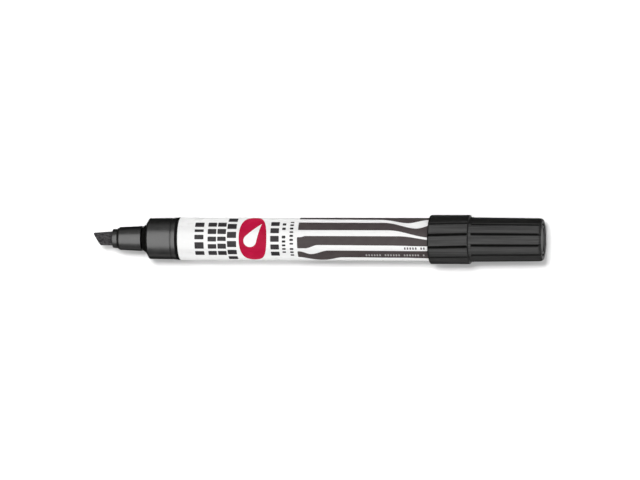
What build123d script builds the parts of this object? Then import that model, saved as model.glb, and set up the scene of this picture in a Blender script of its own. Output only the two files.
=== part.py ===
"""Broad chisel-tip marker with its cap pushed onto the tail.

The marker lies along X on a flat surface: the nib points to -X, the cap is at +X and +Z is up.
The origin is the bottom centre of the bounding box. All lengths are millimetres.

Every outline is drawn as (station, radius), where a station is the distance from the tip of the
nib along the axis. placed() moves a finished solid from that frame to the part's own frame.
"""

from build123d import *
from math import cos, radians, sin
import os

# ---- driving dimensions -------------------------------------------------------------------
POSTED_LENGTH = 152.8       # nib tip to the end of the cap
BARREL_R = 7.16             # outside of the printed sleeve
CAP_SKIRT_R = 8.20          # crest of a panel of the cap's wide skirt
CAP_BODY_R = 7.43           # crest of a panel of the cap's body, beside the skirt
CAP_BODY_END_R = 7.15       # the same, at the closed end

LAND_R = 7.00               # outside of the barrel where the posted cap sits

FIT = 0.03                  # gap left between two pieces that are pressed together
RUN = 0.05                  # radial running clearance of the cap on the barrel

# ---- stations along the axis --------------------------------------------------------------
LIP_START = 6.55            # front of the nib holder
NOSE_START = 8.45           # front edge of the nose
NOSE_END = 16.50            # back of the nose, where the neck begins
SHOULDER_START = 17.10      # front face of the front section
COLLAR_START = 19.30        # where the shoulder turns into the collar
RING_GROOVE = 26.60         # narrow groove round the collar
FLANGE_START = 27.20
SEAL_START = 28.85
TUBE_START = 29.80
LAND_START = 114.60         # the barrel steps down here to the land that the posted cap sits on
TUBE_END = 126.40
TAIL_END = 127.20
CAP_START = 114.70          # mouth of the cap
MOUTH_BORE_END = 119.50     # the wider bore behind the mouth, which takes the flange and the barrel's front
SKIRT_END = 128.30
CAP_SEAT = 127.40           # end of the bore that slides over the land
INNER_CAP_START = 129.60
INNER_CAP_FLOOR = 148.90
INNER_CAP_END = 150.00
LIP_RING_START = 150.60     # inward ring that holds the end plug

# ---- nib ----------------------------------------------------------------------------------
NIB_WIDE = 4.85             # across the broad side (Y)
NIB_THICK = 3.30            # across the narrow side (Z)
NIB_CORNER = 1.30
NIB_TIP_WIDE = 4.22
NIB_TIP_THICK = 2.90
NIB_TIP_CORNER = 1.10
NIB_TIP_OFFSET = -0.15      # the tip end's centre is this far off the axis in Y
NIB_END = 36.00
CUT_TOP = (0.0, 1.70)       # the slanted writing edge, as (station, y)
CUT_BOTTOM = (2.37, -2.25)
TIP_BEVEL = (0.50, 2.30)    # the sharp corner is taken off along a line from CUT_TOP to here

# ---- nib holder and front section ---------------------------------------------------------
LIP_R = 3.25
NOSE_FRONT_R = 3.83
NOSE_BACK_R = 4.20
NECK_R = 3.00               # neck and shank of the nib holder
BARB_START = 30.20
BARB_RISE = 0.22
HOLDER_END = 31.20
SHOULDER_R = 4.15           # the shoulder's front edge
THROAT = (18.10, 4.70)      # where the shoulder's shallow cone turns into the steep one
COLLAR_R = 6.90
RING_GROOVE_R = 6.72
FLANGE_R = 7.10
SPIGOT_END = 37.00          # spigot inside the tube
HOLLOW_START = 21.00        # ring-shaped hollow inside the front section
HOLLOW_IN_R = 4.30
HOLLOW_OUT_R = 5.50
FRONT_RIBS = 6
RIB_T = 0.80

# ---- tube and reservoir -------------------------------------------------------------------
TUBE_IN_R = 6.30
SLEEVE_T = 0.12
SLEEVE_INSET = 0.30         # the tube's bare ends, before and behind the sleeve
CUP_R = 5.85                # cups at both ends that hold the reservoir
CUP_START = 32.00
CORE_R = 5.60
FILM_T = 0.20
CORE_START = CUP_START + FIT
CORE_END = 119.70
PLUG_START = 116.50
PLUG_FLOOR = 125.20
PLUG_FLANGE_R = 6.85

# ---- cap ----------------------------------------------------------------------------------
PANELS = 12                 # panels round the skirt and round the body
BODY_TURN = -3.3            # degrees that the body's panels are turned against the skirt's
GROOVE_HALF = 3.6           # half of a groove's width, degrees
GROOVE_DEPTH = 0.50
EDGE_RISE = 0.07            # a panel's edges stand this much further out than its crest line
MOUTH_ROUND = 0.60
SKIRT_BACK_ROUND = 0.30
CROWN_ROUND = 1.20          # round between the cap's body and its end face
LEAD_IN = 0.20              # chamfer inside the mouth
SHELL_IN_R = 5.95
INNER_CAP_R = 5.42
SEAL_R = 4.24               # bore of the inner cap, which seals on the nose
CAP_RIBS = 6
CAP_RIB_T = 0.90
END_PLUG_STEP = 1.00        # depth of the ring gap round the end plug's head
END_PLUG_HEAD_R = 4.95

AXIS_Z = CAP_SKIRT_R
MID = POSTED_LENGTH / 2
MOUTH_BORE_R = BARREL_R + RUN
CAP_BORE_R = LAND_R + RUN
LAND_STEP = BARREL_R - LAND_R
LIP_RING_R = INNER_CAP_R + FIT


def placed(shape):
    """Move a solid from the station frame to the part's frame."""
    return Pos(-MID, 0, AXIS_Z) * shape


def lathe(*points, rounds=None):
    """Turn a closed (station, radius) outline round the axis.

    rounds gives the radius to which a corner is rounded, by the corner's place in the list.
    """
    outline = make_face(Polyline(*points, close=True))
    for place, radius in (rounds or {}).items():
        corner = outline.vertices().sort_by_distance(points[place])[0]
        outline = fillet(corner, radius)
    return revolve(outline, axis=Axis.X)


def section(station, wide, thick, corner, offset=0.0):
    """Rounded rectangle across the axis, for the nib and what holds it."""
    plane = Plane(origin=(station, offset, 0), x_dir=(0, 1, 0), z_dir=(1, 0, 0))
    return plane * RectangleRounded(wide, thick, corner)


def nib_bar(start, end, gap=0.0):
    """Straight part of the nib, grown by gap on every side."""
    face = section(start, NIB_WIDE + 2 * gap, NIB_THICK + 2 * gap, NIB_CORNER + gap)
    return extrude(face, amount=end - start)


def radial_ribs(count, start, end, inner_r, outer_r, thick, first=0.0):
    """Flat ribs that stand out from the axis, evenly spaced round it."""
    rib = Pos((start + end) / 2, 0, (inner_r + outer_r) / 2) * Box(end - start, thick, outer_r - inner_r)
    ribs = Part()
    for i in range(count):
        ribs += Rot(first + i * 360 / count, 0, 0) * rib
    return ribs


def panelled_face(station, crest_r, turn):
    """Outline across the cap: slightly crowned panels with a V groove between each two."""
    pitch = 360 / PANELS

    def at(radius, angle):
        return (station, -radius * sin(radians(angle)), radius * cos(radians(angle)))

    edges = []
    for i in range(PANELS):
        crest = turn + i * pitch
        border = crest + pitch / 2
        left = at(crest_r + EDGE_RISE, crest - pitch / 2 + GROOVE_HALF)
        right = at(crest_r + EDGE_RISE, border - GROOVE_HALF)
        groove = at(crest_r - GROOVE_DEPTH, border)
        following = at(crest_r + EDGE_RISE, border + GROOVE_HALF)
        edges.append(ThreePointArc(left, at(crest_r, crest), right))
        edges.append(Line(right, groove))
        edges.append(Line(groove, following))
    return Face(Wire(edges))


def make_nib():
    point = loft([section(-0.2, NIB_TIP_WIDE, NIB_TIP_THICK, NIB_TIP_CORNER, NIB_TIP_OFFSET),
                  section(LIP_START, NIB_WIDE, NIB_THICK, NIB_CORNER)], ruled=True)
    nib = point + nib_bar(LIP_START, NIB_END)
    slope = (CUT_BOTTOM[0] - CUT_TOP[0]) / (CUT_TOP[1] - CUT_BOTTOM[1])
    foot = (CUT_TOP[0] + slope * (CUT_TOP[1] + 3), -3)
    waste = make_face(Polyline(CUT_TOP, TIP_BEVEL, (-2, TIP_BEVEL[1]), (-2, -3), foot, close=True))
    return nib - extrude(waste, amount=4, both=True)


def make_nib_holder():
    holder = lathe(
        (LIP_START, 0),
        (LIP_START, LIP_R - 0.18),
        (NOSE_START - 0.35, LIP_R),
        (NOSE_START - 0.25, LIP_R - 0.15),
        (NOSE_START - 0.10, LIP_R - 0.15),
        (NOSE_START, LIP_R + 0.12),
        (NOSE_START + 0.75, NOSE_FRONT_R),
        (NOSE_END, NOSE_BACK_R),
        (NOSE_END, NECK_R),
        (BARB_START, NECK_R),
        (BARB_START, NECK_R + BARB_RISE),
        (HOLDER_END, NECK_R - 0.10),
        (HOLDER_END, 0),
        rounds={1: 0.10, 6: 0.60, 7: 0.20},
    )
    return holder - nib_bar(LIP_START - 1, HOLDER_END + 1, FIT)


def make_front_section():
    bore_r = NECK_R + FIT
    spigot_r = TUBE_IN_R - FIT
    tower_r = NECK_R + 0.60
    body = lathe(
        (SHOULDER_START, bore_r),
        (SHOULDER_START, SHOULDER_R),
        THROAT,
        (COLLAR_START, COLLAR_R - 0.05),
        (RING_GROOVE, COLLAR_R + 0.03),
        (RING_GROOVE + 0.12, RING_GROOVE_R),
        (FLANGE_START - 0.12, RING_GROOVE_R),
        (FLANGE_START, FLANGE_R - 0.10),
        (SEAL_START, FLANGE_R),
        (SEAL_START, spigot_r),
        (SPIGOT_END, spigot_r),
        (SPIGOT_END, CUP_R),
        (CUP_START, CUP_R),
        (CUP_START, tower_r),
        (BARB_START - FIT, tower_r),
        (BARB_START - FIT, bore_r),
        rounds={1: 0.10, 2: 1.00, 3: 0.50, 7: 0.08, 8: 0.12, 10: 0.20},
    )
    hollow = lathe(
        (HOLLOW_START, HOLLOW_IN_R),
        (HOLLOW_START, HOLLOW_OUT_R),
        (CUP_START + 1, HOLLOW_OUT_R),
        (CUP_START + 1, HOLLOW_IN_R),
    )
    ribs = radial_ribs(FRONT_RIBS, HOLLOW_START, CUP_START, HOLLOW_IN_R - 0.1, HOLLOW_OUT_R + 0.1, RIB_T)
    return body - (hollow - ribs)


def make_front_seal_ring():
    front = SEAL_START + 0.02
    back = TUBE_START - 0.02
    inner_r = TUBE_IN_R + FIT
    outer_r = BARREL_R - 0.02
    return lathe((front, inner_r), (front, outer_r), (back, outer_r), (back, inner_r),
                 rounds={1: 0.20, 2: 0.20})


def make_barrel_tube():
    front_rim_r = BARREL_R - 0.02
    back_rim_r = LAND_R - 0.02
    bed_r = BARREL_R - SLEEVE_T
    front = TUBE_START + SLEEVE_INSET - FIT
    back = TUBE_END - SLEEVE_INSET + FIT
    return lathe((TUBE_START, TUBE_IN_R), (TUBE_START, front_rim_r), (front, front_rim_r), (front, bed_r),
                 (LAND_START, bed_r), (LAND_START + LAND_STEP, bed_r - LAND_STEP), (back, bed_r - LAND_STEP),
                 (back, back_rim_r), (TUBE_END, back_rim_r), (TUBE_END, TUBE_IN_R),
                 rounds={1: 0.10, 8: 0.15})


def make_printed_sleeve():
    """Thin sleeve that follows the tube, the step down to the land included."""
    start = TUBE_START + SLEEVE_INSET
    end = TUBE_END - SLEEVE_INSET
    step_end = LAND_START + LAND_STEP
    inner_r = BARREL_R - SLEEVE_T + 0.01
    return lathe((start, inner_r), (start, BARREL_R), (LAND_START, BARREL_R), (step_end, LAND_R),
                 (end, LAND_R), (end, inner_r - LAND_STEP), (step_end, inner_r - LAND_STEP),
                 (LAND_START, inner_r))


def make_ink_reservoir():
    core = lathe((CORE_START, 0), (CORE_START, CORE_R), (CORE_END, CORE_R), (CORE_END, 0))
    return core - nib_bar(CORE_START - 1, NIB_END + FIT, FIT)


def make_reservoir_film():
    inner_r = CORE_R + 0.01
    return lathe((CORE_START, inner_r), (CORE_START, inner_r + FILM_T), (CORE_END, inner_r + FILM_T),
                 (CORE_END, inner_r))


def make_tail_plug():
    """Plug with a cup for the reservoir, whose back end stands on two crossed fins."""
    body_r = TUBE_IN_R - FIT
    plug = lathe(
        (PLUG_START, CUP_R),
        (PLUG_START, body_r),
        (TUBE_END + 0.02, body_r),
        (TUBE_END + 0.02, PLUG_FLANGE_R),
        (TAIL_END, PLUG_FLANGE_R),
        (TAIL_END, 0),
        (PLUG_FLOOR, 0),
        (PLUG_FLOOR, CUP_R),
        rounds={1: 0.20, 4: 0.30},
    )
    fin_start = CORE_END + FIT
    fins = radial_ribs(4, fin_start, PLUG_FLOOR + 0.1, 0, CUP_R + 0.1, CAP_RIB_T)
    return plug + fins


def make_cap_shell():
    skirt_top = CAP_SKIRT_R + EDGE_RISE
    skirt = extrude(panelled_face(CAP_START, CAP_SKIRT_R, 0), amount=SKIRT_END - CAP_START)
    skirt &= lathe((CAP_START, 0), (CAP_START, skirt_top), (SKIRT_END, skirt_top), (SKIRT_END, 0),
                   rounds={1: MOUTH_ROUND, 2: SKIRT_BACK_ROUND})

    root = SKIRT_END - 1
    crown_r = CAP_BODY_END_R + EDGE_RISE
    body = loft([panelled_face(root, CAP_BODY_R, BODY_TURN),
                 panelled_face(POSTED_LENGTH, CAP_BODY_END_R, BODY_TURN)], ruled=True)
    body &= lathe((root, 0), (root, CAP_BODY_R + EDGE_RISE), (POSTED_LENGTH, crown_r), (POSTED_LENGTH, 0),
                  rounds={2: CROWN_ROUND})

    bore = lathe(
        (CAP_START - 1, 0),
        (CAP_START - 1, MOUTH_BORE_R + LEAD_IN),
        (CAP_START, MOUTH_BORE_R + LEAD_IN),
        (CAP_START + LEAD_IN, MOUTH_BORE_R),
        (MOUTH_BORE_END, MOUTH_BORE_R),
        (MOUTH_BORE_END + LEAD_IN, CAP_BORE_R),
        (CAP_SEAT, CAP_BORE_R),
        (CAP_SEAT, SHELL_IN_R),
        (LIP_RING_START, SHELL_IN_R),
        (LIP_RING_START, LIP_RING_R),
        (POSTED_LENGTH - LEAD_IN, LIP_RING_R),
        (POSTED_LENGTH, LIP_RING_R + LEAD_IN),
        (POSTED_LENGTH + 1, LIP_RING_R + LEAD_IN),
        (POSTED_LENGTH + 1, 0),
    )
    ribs = radial_ribs(CAP_RIBS, INNER_CAP_START, LIP_RING_START, LIP_RING_R, SHELL_IN_R + 0.1, CAP_RIB_T,
                       first=15)
    return (skirt + body) - (bore - ribs)


def make_inner_cap():
    outside = lathe((INNER_CAP_START, 0), (INNER_CAP_START, INNER_CAP_R), (INNER_CAP_END, INNER_CAP_R),
                    (INNER_CAP_END, 0), rounds={1: 0.40, 2: 0.40})
    inside = lathe((INNER_CAP_START - 1, 0), (INNER_CAP_START - 1, SEAL_R + 0.4),
                   (INNER_CAP_START, SEAL_R + 0.4), (INNER_CAP_START + 0.8, SEAL_R),
                   (INNER_CAP_FLOOR, SEAL_R), (INNER_CAP_FLOOR, 0), rounds={4: 0.50})
    return outside - inside


def make_cap_end_plug():
    front = INNER_CAP_END + 0.10
    step = POSTED_LENGTH - END_PLUG_STEP
    face = POSTED_LENGTH - 0.15
    return lathe((front, 0), (front, INNER_CAP_R), (step, INNER_CAP_R), (step, END_PLUG_HEAD_R),
                 (face, END_PLUG_HEAD_R), (face, 0), rounds={1: 0.20, 4: 0.35})


PIECES = {
    "nib": make_nib,
    "nib_holder": make_nib_holder,
    "front_section": make_front_section,
    "front_seal_ring": make_front_seal_ring,
    "barrel_tube": make_barrel_tube,
    "printed_sleeve": make_printed_sleeve,
    "ink_reservoir": make_ink_reservoir,
    "reservoir_film": make_reservoir_film,
    "tail_plug": make_tail_plug,
    "cap_shell": make_cap_shell,
    "inner_cap": make_inner_cap,
    "cap_end_plug": make_cap_end_plug,
}

os.makedirs("parts", exist_ok=True)
for name, make in PIECES.items():
    export_step(placed(make()), f"parts/{name}.step")
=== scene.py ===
"""The looks of the chisel-tip marker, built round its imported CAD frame.

Outlines are (station, radius) in millimetres. A station is the distance from the tip of the nib
along the marker's axis, and an angle is in degrees round that axis, from the top towards -Y.
"""

from math import acos, atan2, cos, degrees, hypot, pi, radians, sin, sqrt, tan

import bmesh
import bpy
from mathutils import Matrix, Vector, noise


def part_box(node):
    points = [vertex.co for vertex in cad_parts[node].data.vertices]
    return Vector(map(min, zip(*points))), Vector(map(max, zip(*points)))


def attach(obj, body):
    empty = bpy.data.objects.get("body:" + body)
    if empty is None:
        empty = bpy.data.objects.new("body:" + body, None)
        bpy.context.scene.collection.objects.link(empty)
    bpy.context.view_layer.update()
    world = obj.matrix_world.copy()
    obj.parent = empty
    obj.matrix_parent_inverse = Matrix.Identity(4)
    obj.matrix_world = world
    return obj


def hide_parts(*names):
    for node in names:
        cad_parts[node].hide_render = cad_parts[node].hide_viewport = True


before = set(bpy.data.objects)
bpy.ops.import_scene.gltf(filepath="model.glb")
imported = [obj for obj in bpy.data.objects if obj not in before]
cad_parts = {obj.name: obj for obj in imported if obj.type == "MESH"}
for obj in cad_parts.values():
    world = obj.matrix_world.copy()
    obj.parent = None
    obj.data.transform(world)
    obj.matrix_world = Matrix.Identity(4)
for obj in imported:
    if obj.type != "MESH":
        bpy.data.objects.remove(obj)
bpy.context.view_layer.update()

MM = 0.001


# ---- places and sizes, from the frame -------------------------------------------------------
def span(node):
    """First and last station of a CAD node."""
    low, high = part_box(node)
    return (low.x - TIP_X) / MM, (high.x - TIP_X) / MM


def radius_of(node):
    low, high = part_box(node)
    return (high.y - low.y) / 2 / MM


TIP_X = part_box("nib")[0].x
AXIS_Z = (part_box("printed_sleeve")[0].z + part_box("printed_sleeve")[1].z) / 2

NIB_END = span("nib")[1]
LIP_START, HOLDER_END = span("nib_holder")
SHOULDER_START, SPIGOT_END = span("front_section")
SEAL_START, SEAL_END = span("front_seal_ring")
TUBE_START, TUBE_END = span("barrel_tube")
SLEEVE_START, SLEEVE_END = span("printed_sleeve")
CAP_START, CAP_END = span("cap_shell")
PLUG_FRONT, PLUG_FACE = span("cap_end_plug")
SLEEVE_R = radius_of("printed_sleeve")
NOSE_R = radius_of("nib_holder")
FLANGE_R = radius_of("front_section")
SEAL_R = radius_of("front_seal_ring")
SKIRT_R = radius_of("cap_shell") - 0.015
PLUG_R = radius_of("cap_end_plug")

EDGE = 0.05                 # every hard edge is broken by this much
COLUMNS = 240               # facets round a turned piece
SHADE_ATTRIBUTE = "painted_shade"               # name of the mesh attribute that holds painted shade: where a moulding loses its gloss so that it looks shaded

NIB_WIDE = (4.22, 4.85)     # across the broad side at the tip and at the holder
NIB_THICK = (2.90, 3.30)
NIB_SQUARENESS = 2.9
NIB_OFFSET = -0.15
CUT_TOP_Y = 1.70            # where the slanted writing edge meets the bevel of the long point
CUT_SLOPE = 0.60
BEVEL_SLOPE = 0.85
STRANDS_ALONG = 0.35        # cycles per millimetre of the nib's strands, lengthwise and across
STRANDS_ACROSS = 4.5
FLUFF_PER_MM = 3.0
STRAND_RISE = 0.010         # shares of the radius by which strands and fluff stand out
FLUFF_RISE = 0.008
FACE_DENT = 0.035           # how uneven the writing face is
FACE_INSET = 0.03           # keeps the uneven face behind the CAD's tip

# the black front: a lip, a tapered nose, the neck's gap, the shoulder and the collar
NOSE_START = 8.45
NOSE_END = 16.62
NECK_R = 3.00
THROAT = (18.10, 4.70)      # where the shoulder's shallow cone turns into the steep one
COLLAR_START = 19.30
COLLAR_R = 6.90
RING_GROOVE = 27.05
FLANGE_START = 27.45
RING_GROOVE_R = 6.76
SPIGOT_R = 6.27
CUP_R = 5.85                # the spigot's hollow end, which holds the reservoir
CUP_START = 32.00
TUBE_IN_R = 6.30
LAND_START = CAP_START - 0.10
LAND_DROP = 0.16            # the barrel is this much smaller where the posted cap sits

PANELS = 12
BODY_TURN = -3.3            # the body's panels are turned this much against the skirt's
SKIRT_TURNS = (0.6, -2.0)   # how far the skirt's panels are turned at the mouth and at the back
GROOVE_HALF = 3.5           # degrees from a groove's middle to where its rounded shoulder ends
GROOVE_SHADE_HALF = 5.5     # degrees from a groove's middle to where the painted shade in it ends: the groove's floor loses gloss to look shaded
GROOVE_DEPTH = 0.80
GROOVE_POWER = 1.1          # 1 is a plain V
EDGE_RISE = 0.10            # a panel's edges are this much higher than its crest line: it is nearly flat
SKIRT_END = 128.3
PLAIN_RIM = 0.15            # the skirt's grooves end this far in front of its back end
PLAIN_RING = 0.95           # and the body's grooves begin this far behind it
PLAIN_RING_RISE = 0.06
GROOVE_RUN_OUT = 0.3
BODY_R = 7.43
BODY_END_R = 7.18
MOUTH_ROUND = 0.60
CROWN_LENGTH = 1.35
CROWN_DROP = 0.75
MOUTH_BORE_R = 7.21
MOUTH_BORE_END = 119.5
CAP_BORE_R = 7.05
CAP_SEAT = 127.4            # the shoulder inside the cap that stops the barrel's end
SHELL_IN_R = 5.95
LIP_RING = 150.6            # the end plug's disc rests here


def spot(station, radius, angle):
    """Point on the marker in the frame, in metres."""
    a = radians(angle)
    return Vector((TIP_X + station * MM, -radius * MM * sin(a), AXIS_Z + radius * MM * cos(a)))


# ---- mesh helpers -----------------------------------------------------------------------------
def softened(corners, sizes=None, steps=5):
    """The outline with its corners replaced by arcs: EDGE, or the radius that sizes gives by place."""
    sizes = sizes or {}
    points = []
    count = len(corners)
    for i, corner in enumerate(corners):
        here = Vector(corner)
        size = sizes.get(i, EDGE)
        if here.y == 0 or size == 0:
            points.append(corner)
            continue
        before = Vector(corners[i - 1]) - here
        after = Vector(corners[(i + 1) % count]) - here
        half = before.angle(after) / 2
        if half > radians(87):
            points.append(corner)
            continue
        reach = min(size / tan(half), 0.45 * before.length, 0.45 * after.length)
        size = reach * tan(half)
        middle = here + (before.normalized() + after.normalized()).normalized() * (size / sin(half))
        first = here + before.normalized() * reach - middle
        last = here + after.normalized() * reach - middle
        turn = first.angle_signed(last)
        for k in range(steps + 1):
            a = -turn * k / steps
            points.append((middle.x + first.x * cos(a) - first.y * sin(a),
                           middle.y + first.x * sin(a) + first.y * cos(a)))
    return points


def finish_mesh(name, bm, material, smooth_below=40):
    """Make the piece: welded, outward facing, smooth but for its hard edges."""
    bmesh.ops.remove_doubles(bm, verts=bm.verts, dist=1e-7)
    bmesh.ops.dissolve_degenerate(bm, edges=bm.edges, dist=1e-8)
    bmesh.ops.recalc_face_normals(bm, faces=bm.faces)
    for face in bm.faces:
        face.smooth = True
    for edge in bm.edges:
        edge.smooth = len(edge.link_faces) == 2 and edge.calc_face_angle(0) < radians(smooth_below)
    mesh = bpy.data.meshes.new(name)
    bm.to_mesh(mesh)
    bm.free()
    mesh.materials.append(material)
    piece = bpy.data.objects.new(name, mesh)
    bpy.context.scene.collection.objects.link(piece)
    weigh = piece.modifiers.new("even_normals", "WEIGHTED_NORMAL")
    weigh.keep_sharp = True
    return piece


def skin_rings(bm, rings, closed):
    """Faces between neighbouring rings of vertices, and from the last to the first if closed."""
    following = rings[1:] + (rings[:1] if closed else [])
    for low, high in zip(rings, following):
        for i in range(len(low)):
            j = (i + 1) % len(low)
            bm.faces.new((low[i], low[j], high[j], high[i]))


def turned(name, outline, material, columns=COLUMNS):
    """A closed body turned round the axis. A radius may be a function of the angle."""
    bm = bmesh.new()
    rings = []
    for station, radius in outline:
        ring = []
        for i in range(columns):
            angle = 360 * i / columns
            r = radius(angle) if callable(radius) else radius
            ring.append(bm.verts.new(spot(station, r, angle)))
        rings.append(ring)
    solid = outline[0][1] == 0 and outline[-1][1] == 0
    skin_rings(bm, rings, closed=not solid)
    return finish_mesh(name, bm, material)


def mark_painted_shade(mesh, shade_at):
    """Store painted shade, 0 to 1, as lost gloss: the given function of station, radius and angle says how
    much.
    """
    values = []
    for vertex in mesh.vertices:
        y, z = vertex.co.y, vertex.co.z - AXIS_Z
        station = (vertex.co.x - TIP_X) / MM
        values.append(shade_at(station, hypot(y, z) / MM, degrees(atan2(-y, z))))
    mesh.attributes.new(SHADE_ATTRIBUTE, "FLOAT", "POINT").data.foreach_set("value", values)


def placed(piece, body, slot, *nodes):
    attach(piece, body)
    if nodes:
        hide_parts(*nodes)
    return piece


# ---- materials ----------------------------------------------------------------------------------
def new_material(name):
    material = bpy.data.materials.new(name)
    material.use_nodes = True
    tree = material.node_tree
    return material, tree, tree.nodes["Principled BSDF"]


def field(tree, per_mm, stretch=(1, 1, 1), detail=4.0, roughness=0.6):
    """Noise fixed to the part, so many cycles per millimetre, stretched along an axis if asked."""
    coords = tree.nodes.new("ShaderNodeTexCoord")
    mapping = tree.nodes.new("ShaderNodeMapping")
    texture = tree.nodes.new("ShaderNodeTexNoise")
    mapping.inputs["Scale"].default_value = [per_mm * k / MM for k in stretch]
    texture.inputs["Scale"].default_value = 1.0
    texture.inputs["Detail"].default_value = detail
    texture.inputs["Roughness"].default_value = roughness
    tree.links.new(coords.outputs["Object"], mapping.inputs["Vector"])
    tree.links.new(mapping.outputs["Vector"], texture.inputs["Vector"])
    return texture.outputs["Fac"]


def between(tree, value, low, high, start=0.3, end=0.7):
    """A number that goes from low to high as value goes from start to end."""
    node = tree.nodes.new("ShaderNodeMapRange")
    tree.links.new(value, node.inputs["Value"])
    for socket, number in (("From Min", start), ("From Max", end), ("To Min", low), ("To Max", high)):
        node.inputs[socket].default_value = number
    return node.outputs["Result"]


def tinted(tree, value, dark, light, start=0.3, end=0.7):
    """A colour that goes from dark to light as value goes from start to end."""
    node = tree.nodes.new("ShaderNodeValToRGB")
    tree.links.new(value, node.inputs["Fac"])
    node.color_ramp.elements[0].position = start
    node.color_ramp.elements[1].position = end
    node.color_ramp.elements[0].color = (*dark, 1)
    node.color_ramp.elements[1].color = (*light, 1)
    return node.outputs["Color"]


def added(tree, first, second, share=0.5):
    """first and second mixed, as numbers."""
    node = tree.nodes.new("ShaderNodeMix")
    node.inputs["Factor"].default_value = share
    tree.links.new(first, node.inputs["A"])
    tree.links.new(second, node.inputs["B"])
    return node.outputs["Result"]


def bumped(tree, shader, height, depth_mm, strength=1.0):
    node = tree.nodes.new("ShaderNodeBump")
    node.inputs["Strength"].default_value = strength
    node.inputs["Distance"].default_value = depth_mm * MM
    tree.links.new(height, node.inputs["Height"])
    tree.links.new(node.outputs["Normal"], shader.inputs["Normal"])


def multiplied(tree, first, second):
    node = tree.nodes.new("ShaderNodeMath")
    node.operation = "MULTIPLY"
    tree.links.new(first, node.inputs[0])
    tree.links.new(second, node.inputs[1])
    return node.outputs["Value"]


def moulded(name, dark, light, roughness, gloss, lines=0.0, grain=0.006, shaded_gloss=0.3):
    """Moulded plastic: mottled tone, fine grain and, if asked, lengthwise drawing lines.

    Painted shade: where the mesh's painted shade attribute is high, the gloss falls to the share given by
    the last argument, so those places look shaded.
    """
    material, tree, shader = new_material(name)
    mottle = field(tree, 0.35, detail=3)
    grit = field(tree, 9, detail=5)
    shine = between(tree, mottle, 0.95 * gloss, 1.05 * gloss)
    if lines:
        drawn = field(tree, 2.2, stretch=(0.02, 1, 1), detail=5, roughness=0.7)
        mottle = added(tree, mottle, drawn, 0.6)
        grit = added(tree, grit, drawn, lines)
        shine = between(tree, drawn, 0.7 * gloss, 1.3 * gloss, 0.38, 0.62)
    # painted shade: the gloss drops where the mesh's painted shade attribute is high
    shade_mask = tree.nodes.new("ShaderNodeAttribute")
    shade_mask.attribute_name = SHADE_ATTRIBUTE
    shine = multiplied(tree, shine, between(tree, shade_mask.outputs["Fac"], 1.0, shaded_gloss, 0.12, 0.55))
    tree.links.new(shine, shader.inputs["Specular IOR Level"])
    colour = tinted(tree, mottle, dark, light)
    tree.links.new(colour, shader.inputs["Base Color"])
    rough = between(tree, mottle, roughness - 0.06, roughness + 0.06)
    tree.links.new(rough, shader.inputs["Roughness"])
    bumped(tree, shader, grit, grain)
    return material


def felt(name, dark, light):
    """Pressed fibre: lengthwise strands with a dry, uneven surface."""
    material, tree, shader = new_material(name)
    strands = field(tree, 4.5, stretch=(0.12, 1, 1), detail=6, roughness=0.75)
    clumps = field(tree, 1.7, stretch=(0.7, 1, 1), detail=4)
    nap = added(tree, strands, clumps, 0.55)
    tree.links.new(tinted(tree, nap, dark, light, 0.41, 0.60), shader.inputs["Base Color"])
    shader.inputs["Roughness"].default_value = 0.95
    shader.inputs["Specular IOR Level"].default_value = 0.15
    bumped(tree, shader, nap, 0.12)
    return material


def rubber(name, colour):
    material, tree, shader = new_material(name)
    grit = field(tree, 12, detail=4)
    tree.links.new(tinted(tree, grit, colour, [1.6 * c for c in colour]), shader.inputs["Base Color"])
    shader.inputs["Roughness"].default_value = 0.75
    shader.inputs["Specular IOR Level"].default_value = 0.04
    bumped(tree, shader, grit, 0.01)
    return material


def film(name, dark, light, roughness=0.3, gloss=0.35, ripple=0.002):
    """Printed or plain plastic film: faint cloudiness and a slight lengthwise ripple."""
    material, tree, shader = new_material(name)
    cloud = field(tree, 0.5, stretch=(0.5, 1, 1), detail=4)
    waves = field(tree, 0.6, stretch=(0.15, 1, 1), detail=2)
    tree.links.new(tinted(tree, cloud, dark, light), shader.inputs["Base Color"])
    rough = between(tree, cloud, roughness - 0.05, roughness + 0.07)
    tree.links.new(rough, shader.inputs["Roughness"])
    shader.inputs["Specular IOR Level"].default_value = gloss
    bumped(tree, shader, waves, ripple)
    return material


FELT = felt("felt", (0.014, 0.013, 0.015), (0.092, 0.088, 0.092))
FIBRE = felt("ink_fibre", (0.015, 0.015, 0.02), (0.06, 0.06, 0.07))
# the last number of a moulding is the share of gloss it keeps under painted shade, which darkens grooves and
# gaps
GLOSS_BLACK = moulded("gloss_black", (0.004, 0.004, 0.004), (0.010, 0.010, 0.009), 0.34, 0.52, shaded_gloss=0.02)
CAP_BLACK = moulded("cap_black", (0.003, 0.003, 0.003), (0.011, 0.011, 0.010), 0.42, 0.42, lines=0.6,
                    grain=0.012, shaded_gloss=0.33)
PLUG_BLACK = moulded("plug_black", (0.006, 0.006, 0.006), (0.014, 0.014, 0.013), 0.4, 0.4)
WHITE = moulded("white_plastic", (0.84, 0.84, 0.83), (0.90, 0.90, 0.89), 0.35, 0.4, grain=0.002)
RUBBER = rubber("seal_rubber", (0.003, 0.003, 0.003))
WHITE_FILM = film("white_film", (0.90, 0.90, 0.893), (0.94, 0.94, 0.936))
CLEAR_FILM = film("clear_film", (0.72, 0.74, 0.76), (0.80, 0.82, 0.84))
STRIPE_INK = film("stripe_ink", (0.060, 0.047, 0.049), (0.076, 0.064, 0.062), 0.42, 0.07)
TEXT_INK = film("text_ink", (0.018, 0.016, 0.018), (0.045, 0.042, 0.045), 0.42, 0.08)
RED_INK = film("red_ink", (0.48, 0.003, 0.040), (0.57, 0.006, 0.058), 0.40, 0.03)
PALE_INK = film("pale_ink", (0.34, 0.32, 0.32), (0.46, 0.44, 0.43), 0.42, 0.08)
GREY_INK = film("grey_ink", (0.09, 0.08, 0.085), (0.15, 0.13, 0.14), 0.42, 0.08)


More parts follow.
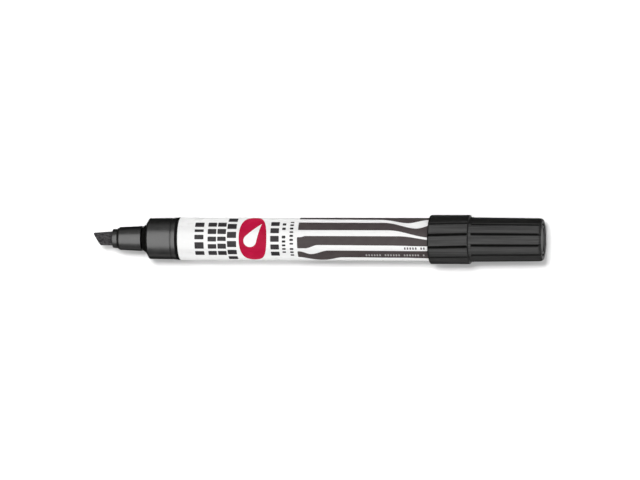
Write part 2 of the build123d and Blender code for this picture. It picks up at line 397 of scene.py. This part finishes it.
# ---- nib and front -----------------------------------------------------------------------------
def nib_radius(wide, thick, angle):
    """Distance from the nib's middle to its side: a rectangle with very round corners."""
    a = radians(angle)
    n = NIB_SQUARENESS
    return (abs(2 * sin(a) / wide) ** n + abs(2 * cos(a) / thick) ** n) ** (-1 / n)


def make_nib():
    """The felt bar, cut on a slant, with strands and a little fluff raised along it."""
    columns = 160

    def cut(y):
        return CUT_SLOPE * (CUT_TOP_Y - y) if y < CUT_TOP_Y else BEVEL_SLOPE * (y - CUT_TOP_Y)

    # share of the section, and how far behind the cut: the writing face, its worn edge, the sides
    steps = [(0.0, 0.0), (0.2, 0.0), (0.4, 0.0), (0.6, 0.0), (0.8, 0.0), (0.9, 0.005), (0.96, 0.03),
             (0.99, 0.09), (1.0, 0.20)]
    behind = 0.35
    ring_gap = 0.15
    while behind < LIP_START + 1.5:
        steps.append((1.0, behind))
        behind += ring_gap
    last = NIB_END - 0.2
    steps += [(1.0, 12.0), (1.0, 20.0), (1.0, last)]
    bm = bmesh.new()
    rings = []
    for share, back in steps:
        ring = []
        for i in range(columns):
            angle = 360 * i / columns
            progress = min(1.0, back / LIP_START)
            wide = NIB_WIDE[0] + (NIB_WIDE[1] - NIB_WIDE[0]) * progress
            thick = NIB_THICK[0] + (NIB_THICK[1] - NIB_THICK[0]) * progress
            r = nib_radius(wide, thick, angle) * share
            y = -r * sin(radians(angle)) + NIB_OFFSET * (1 - progress)
            z = r * cos(radians(angle))
            station = cut(y) * max(0.0, 1 - back / last) + back
            strand = noise.noise(Vector((station * STRANDS_ALONG, y * STRANDS_ACROSS, z * STRANDS_ACROSS)))
            fluff = noise.noise(Vector((station, y, z)) * FLUFF_PER_MM)
            grow = 1 + (STRAND_RISE * strand + FLUFF_RISE * fluff) * (share > 0.9)
            dent = FACE_DENT * fluff * (share < 0.9)
            x = TIP_X + (station + dent + FACE_INSET) * MM
            ring.append(bm.verts.new((x, y * grow * MM, AXIS_Z + z * grow * MM)))
        rings.append(ring)
    skin_rings(bm, rings, closed=False)
    bm.faces.new(rings[-1])
    return placed(finish_mesh("nib_felt", bm, FELT, smooth_below=55), "pen", "felt", "nib")


def make_nib_holder():
    def hole(angle):
        return nib_radius(NIB_WIDE[1] + 0.05, NIB_THICK[1] + 0.05, angle)

    lip_r = 3.25
    inner_r = 2.55
    outline = softened([
        (LIP_START, lip_r - 0.12), (NOSE_START - 0.22, lip_r), (NOSE_START - 0.16, lip_r - 0.14),
        (NOSE_START - 0.06, lip_r - 0.14), (NOSE_START, lip_r + 0.22), (NOSE_START + 0.70, 3.83),
        (NOSE_END, NOSE_R + 0.015), (NOSE_END, NECK_R - 0.25), (SHOULDER_START + 0.2, NECK_R - 0.25),
        (SHOULDER_START + 0.4, NECK_R), (HOLDER_END - 1.0, NECK_R),
        (HOLDER_END - 1.0, NECK_R + 0.2), (HOLDER_END, NECK_R - 0.1),
        (HOLDER_END, inner_r + 0.05), (HOLDER_END - 2, inner_r), (LIP_START + 1, inner_r),
    ], {0: 0.06, 1: 0.05, 5: 0.5, 6: 0.12, 7: 0.1})
    outer = [(s, r) for s, r in outline if r > inner_r + 0.03]
    outline = [(LIP_START + 0.15, hole), (LIP_START + 0.02, lambda a: hole(a) + 0.06)] + outer
    outline += [(HOLDER_END, hole)]
    piece = turned("nib_holder_nose", outline, GLOSS_BLACK)
    # painted shade: the nose's back face and the neck behind it lose their gloss, so the gap in front of the
    # shoulder looks shaded
    mark_painted_shade(piece.data, lambda s, r, a: float(s > NOSE_END - 0.1 and r < NOSE_R - 0.3))
    return placed(piece, "pen", "black_plastic", "nib_holder")


def make_front_section():
    bore_r = NECK_R + 0.03
    recess_r = 3.6
    outline = softened([
        (SHOULDER_START, bore_r), (SHOULDER_START, 4.15), THROAT, (COLLAR_START, COLLAR_R - 0.05),
        (RING_GROOVE, COLLAR_R + 0.03), (RING_GROOVE + 0.10, RING_GROOVE_R),
        (FLANGE_START - 0.10, RING_GROOVE_R), (FLANGE_START, FLANGE_R - 0.12),
        (SEAL_START - 0.02, FLANGE_R), (SEAL_START - 0.02, SPIGOT_R),
        (SPIGOT_END, SPIGOT_R), (SPIGOT_END, CUP_R), (CUP_START, CUP_R), (CUP_START, recess_r),
        (HOLDER_END - 1, recess_r), (HOLDER_END - 1, bore_r),
    ], {1: 0.12, 2: 0.8, 3: 0.40, 4: 0.08, 7: 0.1, 8: 0.14})
    piece = turned("front_collar", outline, GLOSS_BLACK)
    # painted shade: the shoulder in front of the collar loses its gloss, so the gap there looks shaded
    mark_painted_shade(piece.data, lambda s, r, a: float(s < COLLAR_START - 0.5))
    return placed(piece, "pen", "black_plastic", "front_section")


def make_seal_ring():
    front, back, inner = SEAL_START + 0.02, SEAL_END, 6.33
    outline = softened([(front, inner), (front, SEAL_R), (back, SEAL_R), (back, inner)], {1: 0.22, 2: 0.22})
    return placed(turned("seal_ring", outline, RUBBER), "pen", "black_rubber", "front_seal_ring")


def sleeve_radius(station):
    """Outside of the sleeve, which steps down to the land under the posted cap."""
    return SLEEVE_R - max(0.0, min(LAND_DROP, station - LAND_START))


def make_barrel():
    """The white tube, whose rolled ends stand level with the sleeve round it."""
    bed = -0.12
    rim = -0.015
    land_end = LAND_START + LAND_DROP

    def at(station, rise):
        return station, sleeve_radius(station) + rise

    outline = softened([
        (TUBE_START + 0.02, TUBE_IN_R), at(TUBE_START + 0.02, rim), at(SLEEVE_START - 0.02, rim),
        at(SLEEVE_START - 0.02, bed), at(LAND_START, bed), at(land_end, bed), at(SLEEVE_END + 0.02, bed),
        at(SLEEVE_END + 0.02, rim), at(TUBE_END, rim), (TUBE_END, TUBE_IN_R),
    ], {1: 0.16, 4: 0, 5: 0, 8: 0.16})
    placed(turned("barrel", outline, WHITE), "pen", "white_plastic", "barrel_tube")
    inside = bed + 0.005
    sleeve = softened([
        at(SLEEVE_START, inside), at(SLEEVE_START, 0), at(LAND_START, 0), at(land_end, 0), at(SLEEVE_END, 0),
        at(SLEEVE_END, inside), at(land_end, inside), at(LAND_START, inside),
    ], {0: 0, 1: 0.03, 4: 0.03, 5: 0, 6: 0, 7: 0})
    placed(turned("sleeve", sleeve, WHITE_FILM), "pen", "printed_film", "printed_sleeve")


# ---- print ---------------------------------------------------------------------------------------
INK_RISE = 0.022            # the ink stands this far above the sleeve
INK_ROOT = -0.03            # and its underside is this far inside it


def eased(t):
    t = max(0.0, min(1.0, t))
    return t * t * (3 - 2 * t)


def edge_line(*points):
    """A printed edge through (station, angle) points, easing from each to the next."""
    def at(station):
        if station <= points[0][0]:
            return points[0][1]
        for (s0, a0), (s1, a1) in zip(points, points[1:]):
            if station <= s1:
                return a0 + (a1 - a0) * eased((station - s0) / (s1 - s0))
        return points[-1][1]
    return at


def add_ink(bm, start, end, low, high, step=0.25, corner=0.0, fine=False, rise=INK_RISE):
    """Ink on the sleeve between two edges, low and high, which give an angle at each station."""
    count = max(2, round((end - start) / step))
    stations = [start + (end - start) * i / count for i in range(count + 1)]
    if fine:
        stations = [start + (end - start) * (1 - cos(pi * i / count)) / 2 for i in range(count + 1)]
    inset = [corner * (1 - cos(radians(a))) for a in (30, 60, 90)] if corner else []
    steps = [LAND_START, LAND_START + LAND_DROP] if start < LAND_START < end else []
    stations = sorted({round(s, 5) for s in stations + steps + [start + d for d in inset]
                       + [end - d for d in inset]})
    rings = []
    for station in stations:
        near = min(station - start, end - station)
        cut = 0.0
        if near < corner:
            cut = corner - sqrt(max(0.0, corner ** 2 - (corner - near) ** 2))
        cut_angle = degrees(cut / SLEEVE_R)
        rings.append((station, low(station) + cut_angle, high(station) - cut_angle))
    across = max(2, max(round((a1 - a0) / 3) for _, a0, a1 in rings))
    loops = []
    for station, a0, a1 in rings:
        angles = [a0 + (a1 - a0) * k / across for k in range(across + 1)]
        r = sleeve_radius(station)
        top = [bm.verts.new(spot(station, r + rise, a)) for a in angles]
        under = [bm.verts.new(spot(station, r + INK_ROOT, a)) for a in reversed(angles)]
        loops.append(top + under)
    skin_rings(bm, loops, closed=False)
    for loop in (loops[0], loops[-1]):
        for k in range(across):
            opposite = len(loop) - 1 - k
            bm.faces.new((loop[k], loop[k + 1], loop[opposite - 1], loop[opposite]))


def ink_piece(name, bm, material):
    piece = finish_mesh(name, bm, material, smooth_below=30)
    return placed(piece, "pen", "printed_film")


STRIPES_END = 123.0
STRIPES = {
    # name: (start, low edge, high edge), each edge easing through its (station, angle) points
    "top": (70.8, edge_line((72.1, -92), (203, -92)),
            edge_line((72.1, -71), (98.4, -69), (107.8, -53), (115.2, -69), (121.8, -66))),
    "upper": (70.9, edge_line((72.1, -54.5), (99.7, -54), (110.9, -34.3), (118.7, -54)),
              edge_line((72.1, -29), (101.3, -29), (115.7, -9), (122.8, -14))),
    "middle": (70.65, edge_line((71.7, -9), (73.5, -12.3), (105, -12.3), (118.2, -0.5)),
               edge_line((71.7, 21.5), (73.3, 21.5), (77.7, 12), (101.5, 12.8), (114.7, 14.8))),
    "lower": (70.6, edge_line((71.2, 31), (75.1, 40.3), (81, 28), (113.7, 29)),
              edge_line((70.8, 53), (78.6, 71), (85.6, 53.5), (105.5, 55), (115.7, 57.5))),
    "front_low": (70.8, edge_line((72.1, 90), (79.2, 101), (88.3, 88), (113.7, 88)),
                  edge_line((72.1, 104), (83.2, 113), (93.4, 104), (113.7, 104))),
    "under_1": (71.0, edge_line((72.1, 118), (101.5, 118), (109.6, 129), (117.7, 118)),
                edge_line((72.1, 140), (103.5, 140), (112.7, 152), (120.8, 140))),
    "under_2": (70.8, edge_line((72.1, 158), (105.5, 158), (115.7, 170), (122.8, 160)),
                edge_line((72.1, 182), (107.6, 182), (118.7, 194))),
    "back_low": (70.6, edge_line((72.1, 199), (78.1, 208), (84.2, 199), (113.7, 199)),
                 edge_line((72.1, 216), (81.2, 230), (89.3, 221), (113.7, 221))),
    "back_top": (70.6, edge_line((72.1, 234), (80.2, 245), (88.3, 234), (113.7, 234)),
                 edge_line((72.1, 250), (83.2, 261), (92.4, 252), (113.7, 252))),
}


def make_stripes():
    for name, (start, low, high) in STRIPES.items():
        bm = bmesh.new()
        add_ink(bm, start, STRIPES_END, low, high, step=0.35, corner=0.25)
        ink_piece("stripe_" + name, bm, STRIPE_INK)


OVAL_MIDDLE = 55.55
OVAL_HALF = 4.72
OVAL_ANGLE = 75.0           # half of the way it reaches round the sleeve
OVAL_TURN = -5.5            # the angle of its middle


def make_oval():
    def half_angle(station):
        share = (station - OVAL_MIDDLE) / OVAL_HALF
        return OVAL_ANGLE * max(0.0, 1 - abs(share) ** 2.15) ** (1 / 2.15)

    bm = bmesh.new()
    add_ink(bm, OVAL_MIDDLE - OVAL_HALF, OVAL_MIDDLE + OVAL_HALF, lambda s: OVAL_TURN - half_angle(s),
            lambda s: OVAL_TURN + half_angle(s), step=0.12, fine=True)
    ink_piece("print_oval", bm, RED_INK)


DROP_MIDDLE = (54.6, 1.0)   # station and angle of the round end of the ink drop on the oval
DROP_POINT = (58.4, -48.0)
DROP_R = 2.15
OVERPRINT_RISE = 0.036      # white ink that lies on top of another ink


def make_drop():
    """A plain white ink drop: a circle and its tangents to a point, on the unrolled sleeve."""
    arc = radians(1) * SLEEVE_R
    middle = Vector((DROP_MIDDLE[0], DROP_MIDDLE[1] * arc))
    point = Vector((DROP_POINT[0], DROP_POINT[1] * arc))
    towards = point - middle
    heading = atan2(towards.y, towards.x)
    tangent = acos(DROP_R / towards.length)
    outline = [point]
    for k in range(61):
        a = heading + tangent + (2 * pi - 2 * tangent) * k / 60
        outline.append(middle + DROP_R * Vector((cos(a), sin(a))))

    def crossings(station):
        angles = []
        for p, q in zip(outline, outline[1:] + outline[:1]):
            if min(p.x, q.x) <= station <= max(p.x, q.x) and p.x != q.x:
                share = (station - p.x) / (q.x - p.x)
                angles.append((p.y + (q.y - p.y) * share) / arc)
        return angles

    first = min(p.x for p in outline) + 1e-4
    last = max(p.x for p in outline) - 1e-4
    bm = bmesh.new()
    add_ink(bm, first, last, lambda s: min(crossings(s)), lambda s: max(crossings(s)), step=0.10, fine=True,
            rise=OVERPRINT_RISE)
    ink_piece("print_drop", bm, WHITE_FILM)


def make_print_rows():
    """Plain bars in place of the printed words: (station, height, first angle, last angle, bar widths)."""
    rows = [
        (37.3, 3.1, -53, 45, (1.0, 0.5, 0.8, 1.2, 0.9)),
        (41.7, 2.9, -53, 45, (1.0, 1.0, 0.9, 0.9, 1.0)),
        (45.0, 2.9, -53, 45, (1.0, 1.0, 0.8, 1.0, 1.0)),
        (48.4, 3.1, -75, 67, (1.1, 1.0, 1.0, 1.0, 0.9, 1.0)),
        (63.0, 2.9, -56, 47, (1.0, 1.0, 1.1, 1.0, 1.0)),
        (66.1, 1.2, -51, -29, (1.0, 0.9)),
        (66.1, 1.2, -13, 36, (1.3, 1.0, 0.9, 0.9, 0.8)),
        (68.7, 1.2, -57, 11, (0.8, 1.0, 1.0, 0.8, 1.0, 1.0, 0.8)),
        (68.7, 1.2, 21, 47, (1.0, 1.0, 1.0)),
    ]
    bm = bmesh.new()
    for station, height, first, last, widths in rows:
        gap = 0.5 if height > 2 else 0.9
        unit = (last - first) / (sum(widths) + gap * (len(widths) - 1))
        low = first
        for width in widths:
            high = low + width * unit
            add_ink(bm, station - height / 2, station + height / 2, lambda s, a=low: a, lambda s, a=high: a,
                    corner=0.2)
            low = high + gap * unit
    ink_piece("print_bars", bm, TEXT_INK)


def make_small_print():
    """Two rows of small dashes beside the cap: white ones on a stripe, dark ones in the gap above it."""
    white = bmesh.new()
    dark = bmesh.new()
    dash, pitch = 0.5, 0.92
    for bm, start, low, high, rise, word in ((white, 93.6, 40.5, 47.0, OVERPRINT_RISE, 6),
                                             (dark, 106.8, 18.0, 24.5, INK_RISE, 5)):
        count = int((LAND_START - 0.3 - start) / pitch)
        for k in range(count):
            if k % (word + 1) == word:
                continue
            first = start + k * pitch
            add_ink(bm, first, first + dash, lambda s, a=low: a, lambda s, a=high: a, corner=0.1, rise=rise)
    ink_piece("print_dashes_pale", white, PALE_INK)
    ink_piece("print_dashes_dark", dark, GREY_INK)


# ---- cap -----------------------------------------------------------------------------------------
def groove_share(angle, turn, half):
    """1 in the middle of a groove between two panels, down to 0 at half degrees from it."""
    pitch = 360 / PANELS
    offset = (angle - turn + pitch / 2) % pitch - pitch / 2
    return max(0.0, 1 - (pitch / 2 - abs(offset)) / half)


def panelled(crest_r, turn, depth=1.0):
    """Radius round the cap: crowned panels with a rounded V groove between each two."""
    pitch = 360 / PANELS

    def radius(angle):
        offset = (angle - turn + pitch / 2) % pitch - pitch / 2
        rise = EDGE_RISE * (2 * offset / pitch) ** 2
        return crest_r + rise - depth * GROOVE_DEPTH * groove_share(angle, turn, GROOVE_HALF) ** GROOVE_POWER
    return radius


def skirt_turn(station):
    """Turn of the skirt's panels, which twist steadily from the mouth to the back."""
    share = (station - CAP_START) / (SKIRT_END - CAP_START)
    return SKIRT_TURNS[0] + (SKIRT_TURNS[1] - SKIRT_TURNS[0]) * max(0.0, min(1.0, share))


def groove_depth(station):
    """Share of a groove's full depth, which runs out on both sides of the step to the body."""
    if station > SKIRT_END:
        return eased((station - SKIRT_END - PLAIN_RING) / GROOVE_RUN_OUT)
    return eased((SKIRT_END - PLAIN_RIM - station) / GROOVE_RUN_OUT)


def cap_groove_shade(station, radius, angle):
    """Painted shade in the grooves, given as lost gloss: 1 in the middle of one, 0 on the panels."""
    turn = BODY_TURN if station > SKIRT_END else skirt_turn(station)
    return groove_share(angle, turn, GROOVE_SHADE_HALF) * groove_depth(station)


def make_cap():
    rows = []
    arc = [radians(a) for a in (0, 15, 30, 45, 60, 75, 90)]
    for a in arc:
        station = CAP_START + MOUTH_ROUND * (1 - cos(a))
        rows.append((station, panelled(SKIRT_R - MOUTH_ROUND * (1 - sin(a)), skirt_turn(station))))
    back_round = 0.35
    start, end = CAP_START + MOUTH_ROUND, SKIRT_END - back_round
    count = 40
    for i in range(1, count + 1):
        station = start + (end - start) * i / count
        rows.append((station, panelled(SKIRT_R, skirt_turn(station), groove_depth(station))))
    for a in arc[1:]:
        station = end + back_round * sin(a)
        crest = SKIRT_R - back_round * (1 - cos(a))
        rows.append((station, panelled(crest, skirt_turn(station), groove_depth(station))))
    rows.append((SKIRT_END + 0.01, panelled(BODY_R + 0.16, BODY_TURN, 0)))
    crown = CAP_END - CROWN_LENGTH
    ring_end = SKIRT_END + PLAIN_RING
    full_depth = ring_end + GROOVE_RUN_OUT
    stations = [SKIRT_END + 0.1, SKIRT_END + 0.5, ring_end]
    stations += [ring_end + GROOVE_RUN_OUT * k / 4 for k in (1, 2, 3)]
    count = 26
    stations += [full_depth + (crown - full_depth) * i / count for i in range(count + 1)]
    for station in stations:
        share = (station - SKIRT_END) / (CAP_END - SKIRT_END)
        depth = groove_depth(station)
        crest = BODY_R + (BODY_END_R - BODY_R) * share + PLAIN_RING_RISE * (1 - depth)
        rows.append((station, panelled(crest, BODY_TURN, depth)))
    for k in range(1, 11):
        a = radians(9 * k)
        rows.append((crown + CROWN_LENGTH * sin(a),
                     panelled(BODY_END_R - CROWN_DROP * (1 - cos(a)), BODY_TURN, depth=max(0.0, 1 - k / 7))))
    ring_r = PLUG_R + 0.03
    inside = softened([
        (CAP_END, ring_r + 0.2), (CAP_END - 0.25, ring_r), (LIP_RING, ring_r), (LIP_RING, SHELL_IN_R),
        (CAP_SEAT, SHELL_IN_R), (CAP_SEAT, CAP_BORE_R), (MOUTH_BORE_END + 0.2, CAP_BORE_R),
        (MOUTH_BORE_END, MOUTH_BORE_R), (CAP_START + 0.2, MOUTH_BORE_R), (CAP_START, MOUTH_BORE_R + 0.18),
    ], {0: 0.08, 9: 0})
    piece = turned("cap", rows + inside, CAP_BLACK, columns=600)
    # painted shade: the grooves lose their gloss, so they look as dark as shaded hollows
    mark_painted_shade(piece.data, cap_groove_shade)
    return placed(piece, "cap", "black_plastic", "cap_shell")


def make_end_plug():
    head_r = 4.95
    recess_r = 4.2
    floor = PLUG_FACE - 0.30
    outline = softened([
        (PLUG_FRONT, 0), (PLUG_FRONT, PLUG_R - 0.2), (PLUG_FRONT + 0.3, PLUG_R), (CAP_END - 1.0, PLUG_R),
        (CAP_END - 1.0, head_r), (PLUG_FACE, head_r - 0.05), (PLUG_FACE, recess_r), (floor, recess_r - 0.08),
        (floor, 0),
    ], {4: 0.1, 5: 0.28})
    return placed(turned("end_plug", outline, PLUG_BLACK), "cap", "black_plastic", "cap_end_plug")


# ---- studio --------------------------------------------------------------------------------------
FLOOR_TONE = 0.70
SKY = 0.905                 # brightness of the even light from all round
SKY_BACK = 0.80             # the same, from straight behind the marker
KEY_TONE = 1.1              # brightness that the key light adds to a white floor
FLOOR_HALF = 6.0            # metres
FLOOR_DROP = 0.00005        # the floor lies this far under the marker


def make_floor():
    """A plain white sweep that stays out of the marker's reflections and lets light up from below."""
    material, tree, shader = new_material("floor_white")
    faint = field(tree, 0.004, detail=2)
    tones = [[FLOOR_TONE + change] * 3 for change in (-0.01, 0.01)]
    tree.links.new(tinted(tree, faint, *tones), shader.inputs["Base Color"])
    shader.inputs["Roughness"].default_value = 0.9
    shader.inputs["Specular IOR Level"].default_value = 0.0
    bm = bmesh.new()
    bmesh.ops.create_grid(bm, x_segments=8, y_segments=8, size=FLOOR_HALF)
    floor = finish_mesh("floor", bm, material)
    floor.modifiers.clear()
    floor.location.z = -FLOOR_DROP
    floor.visible_glossy = False
    floor.visible_shadow = False
    return floor


def make_world():
    """Even light from all round, a little weaker from +Y."""
    world = bpy.data.worlds.new("studio")
    bpy.context.scene.world = world
    world.use_nodes = True
    tree = world.node_tree
    coords = tree.nodes.new("ShaderNodeTexCoord")
    parts = tree.nodes.new("ShaderNodeSeparateXYZ")
    tree.links.new(coords.outputs["Generated"], parts.inputs["Vector"])
    strength = between(tree, parts.outputs["Y"], SKY, SKY_BACK, 0.0, 1.0)
    tree.links.new(strength, tree.nodes["Background"].inputs["Strength"])
    tree.nodes["Background"].inputs["Color"].default_value = (1, 1, 1, 1)
    world.cycles_visibility.glossy = False


def add_panel(name, direction, distance, half_x, half_across, radiance):
    """A flat light that faces the marker from a direction. The half sizes are angles in degrees."""
    lamp = bpy.data.lights.new(name, "AREA")
    lamp.shape = "RECTANGLE"
    lamp.size = 2 * distance * tan(radians(half_x))
    lamp.size_y = 2 * distance * tan(radians(half_across))
    lamp.energy = radiance * pi * lamp.size * lamp.size_y
    panel = bpy.data.objects.new(name, lamp)
    bpy.context.scene.collection.objects.link(panel)
    back = Vector(direction).normalized()
    panel.location = Vector((0, 0, AXIS_Z)) + distance * back
    across = (Vector((1, 0, 0)) if abs(back.x) < 0.9 else Vector((0, 0, 1))).cross(back).normalized()
    turn = Matrix((across.cross(back), across, back)).transposed()
    panel.rotation_euler = turn.to_euler()
    panel.visible_camera = False
    return panel


def linked(panel, pieces, state):
    """Let a light fall on these pieces alone, or on all but them."""
    group = bpy.data.collections.new(panel.name + "_pieces")
    for piece in pieces:
        group.objects.link(piece)
    panel.light_linking.receiver_collection = group
    for child in group.collection_objects:
        child.light_linking.link_state = state


def make_key(floor):
    """The light that gives the marker its soft shadow: it falls on the floor alone."""
    tilt, distance, half_x, half_across = radians(-15), 1.5, 6, 6
    area = (2 * distance * tan(radians(half_x))) * (2 * distance * tan(radians(half_across)))
    radiance = KEY_TONE * pi * distance ** 2 / area
    key = add_panel("key", (0, -sin(tilt), cos(tilt)), distance, half_x, half_across, radiance)
    key.visible_glossy = False
    linked(key, [floor], "INCLUDE")


BOX_DISTANCE = 1.2
END_BOX_DISTANCE = 1.0


def make_reflections(cap_pieces):
    """Soft boxes that show only as reflections.

    Each is (name, tilt from above towards -Y, half sizes, radiance, light link of the cap). The cap
    has its own boxes because it lies nearer the end of the overhead box than the barrel does.
    """
    boxes = [
        ("overhead", 2, 42, 48, 4.8, "EXCLUDE"),
        ("overhead_cap", -8, 42, 70, 2.15, "INCLUDE"),
        ("low_cap", 114, 42, 8, 0.8, "INCLUDE"),
        ("side_back", -72, 42, 20, 0.75, "EXCLUDE"),
        ("side_front", 66, 42, 14, 0.8, None),
        ("low_front", 104, 42, 10, 0.8, "EXCLUDE"),
    ]
    for name, tilt, half_x, half_across, radiance, cap_link in boxes:
        a = radians(tilt)
        panel = add_panel(name, (0, -sin(a), cos(a)), BOX_DISTANCE, half_x, half_across, radiance)
        panel.visible_diffuse = False
        if cap_link:
            linked(panel, cap_pieces, cap_link)
    ends = [("end_side", (1, 0, 0), 25, 1.2), ("end_low", (0.6, 0, -1), 24, 0.7)]
    for name, direction, half, radiance in ends:
        panel = add_panel(name, direction, END_BOX_DISTANCE, half, half, radiance)
        panel.visible_diffuse = False


CAMERA_TILT = 9.8           # towards the cap
CAMERA_LEAN = 4.2           # towards +Y
CAMERA_ROLL = 0.18
LENS = 400
SENSOR = 36
VIEW_WIDTH = 0.2144         # metres across the picture at the marker


def make_camera():
    data = bpy.data.cameras.new("camera")
    data.lens = LENS
    data.sensor_width = SENSOR
    data.clip_start = 0.1
    data.clip_end = 20
    camera = bpy.data.objects.new("camera", data)
    bpy.context.scene.collection.objects.link(camera)
    target = Vector((0.00084, -0.00031, AXIS_Z))
    back = Vector((tan(radians(CAMERA_TILT)), tan(radians(CAMERA_LEAN)), 1)).normalized()
    camera.location = target + back * VIEW_WIDTH * LENS / SENSOR
    along = Vector((1, 0, 0))
    level = (along - along.dot(back) * back).normalized()
    upright = back.cross(level)
    roll = radians(CAMERA_ROLL)
    across = level * cos(roll) + upright * sin(roll)
    over = upright * cos(roll) - level * sin(roll)
    camera.rotation_euler = Matrix((across, over, back)).transposed().to_euler()
    bpy.context.scene.camera = camera


# ---- make everything -------------------------------------------------------------------------------
make_camera()
make_nib()
make_nib_holder()
make_front_section()
make_seal_ring()
make_barrel()
make_stripes()
make_oval()
make_drop()
make_print_rows()
make_small_print()
cap_pieces = [make_cap(), make_end_plug()]

for node, material in (("ink_reservoir", FIBRE), ("reservoir_film", CLEAR_FILM), ("tail_plug", WHITE),
                       ("inner_cap", WHITE)):
    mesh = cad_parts[node].data
    mesh.materials.clear()
    mesh.materials.append(material)

make_key(make_floor())
make_world()
make_reflections(cap_pieces)
bpy.context.scene.view_settings.view_transform = "Standard"
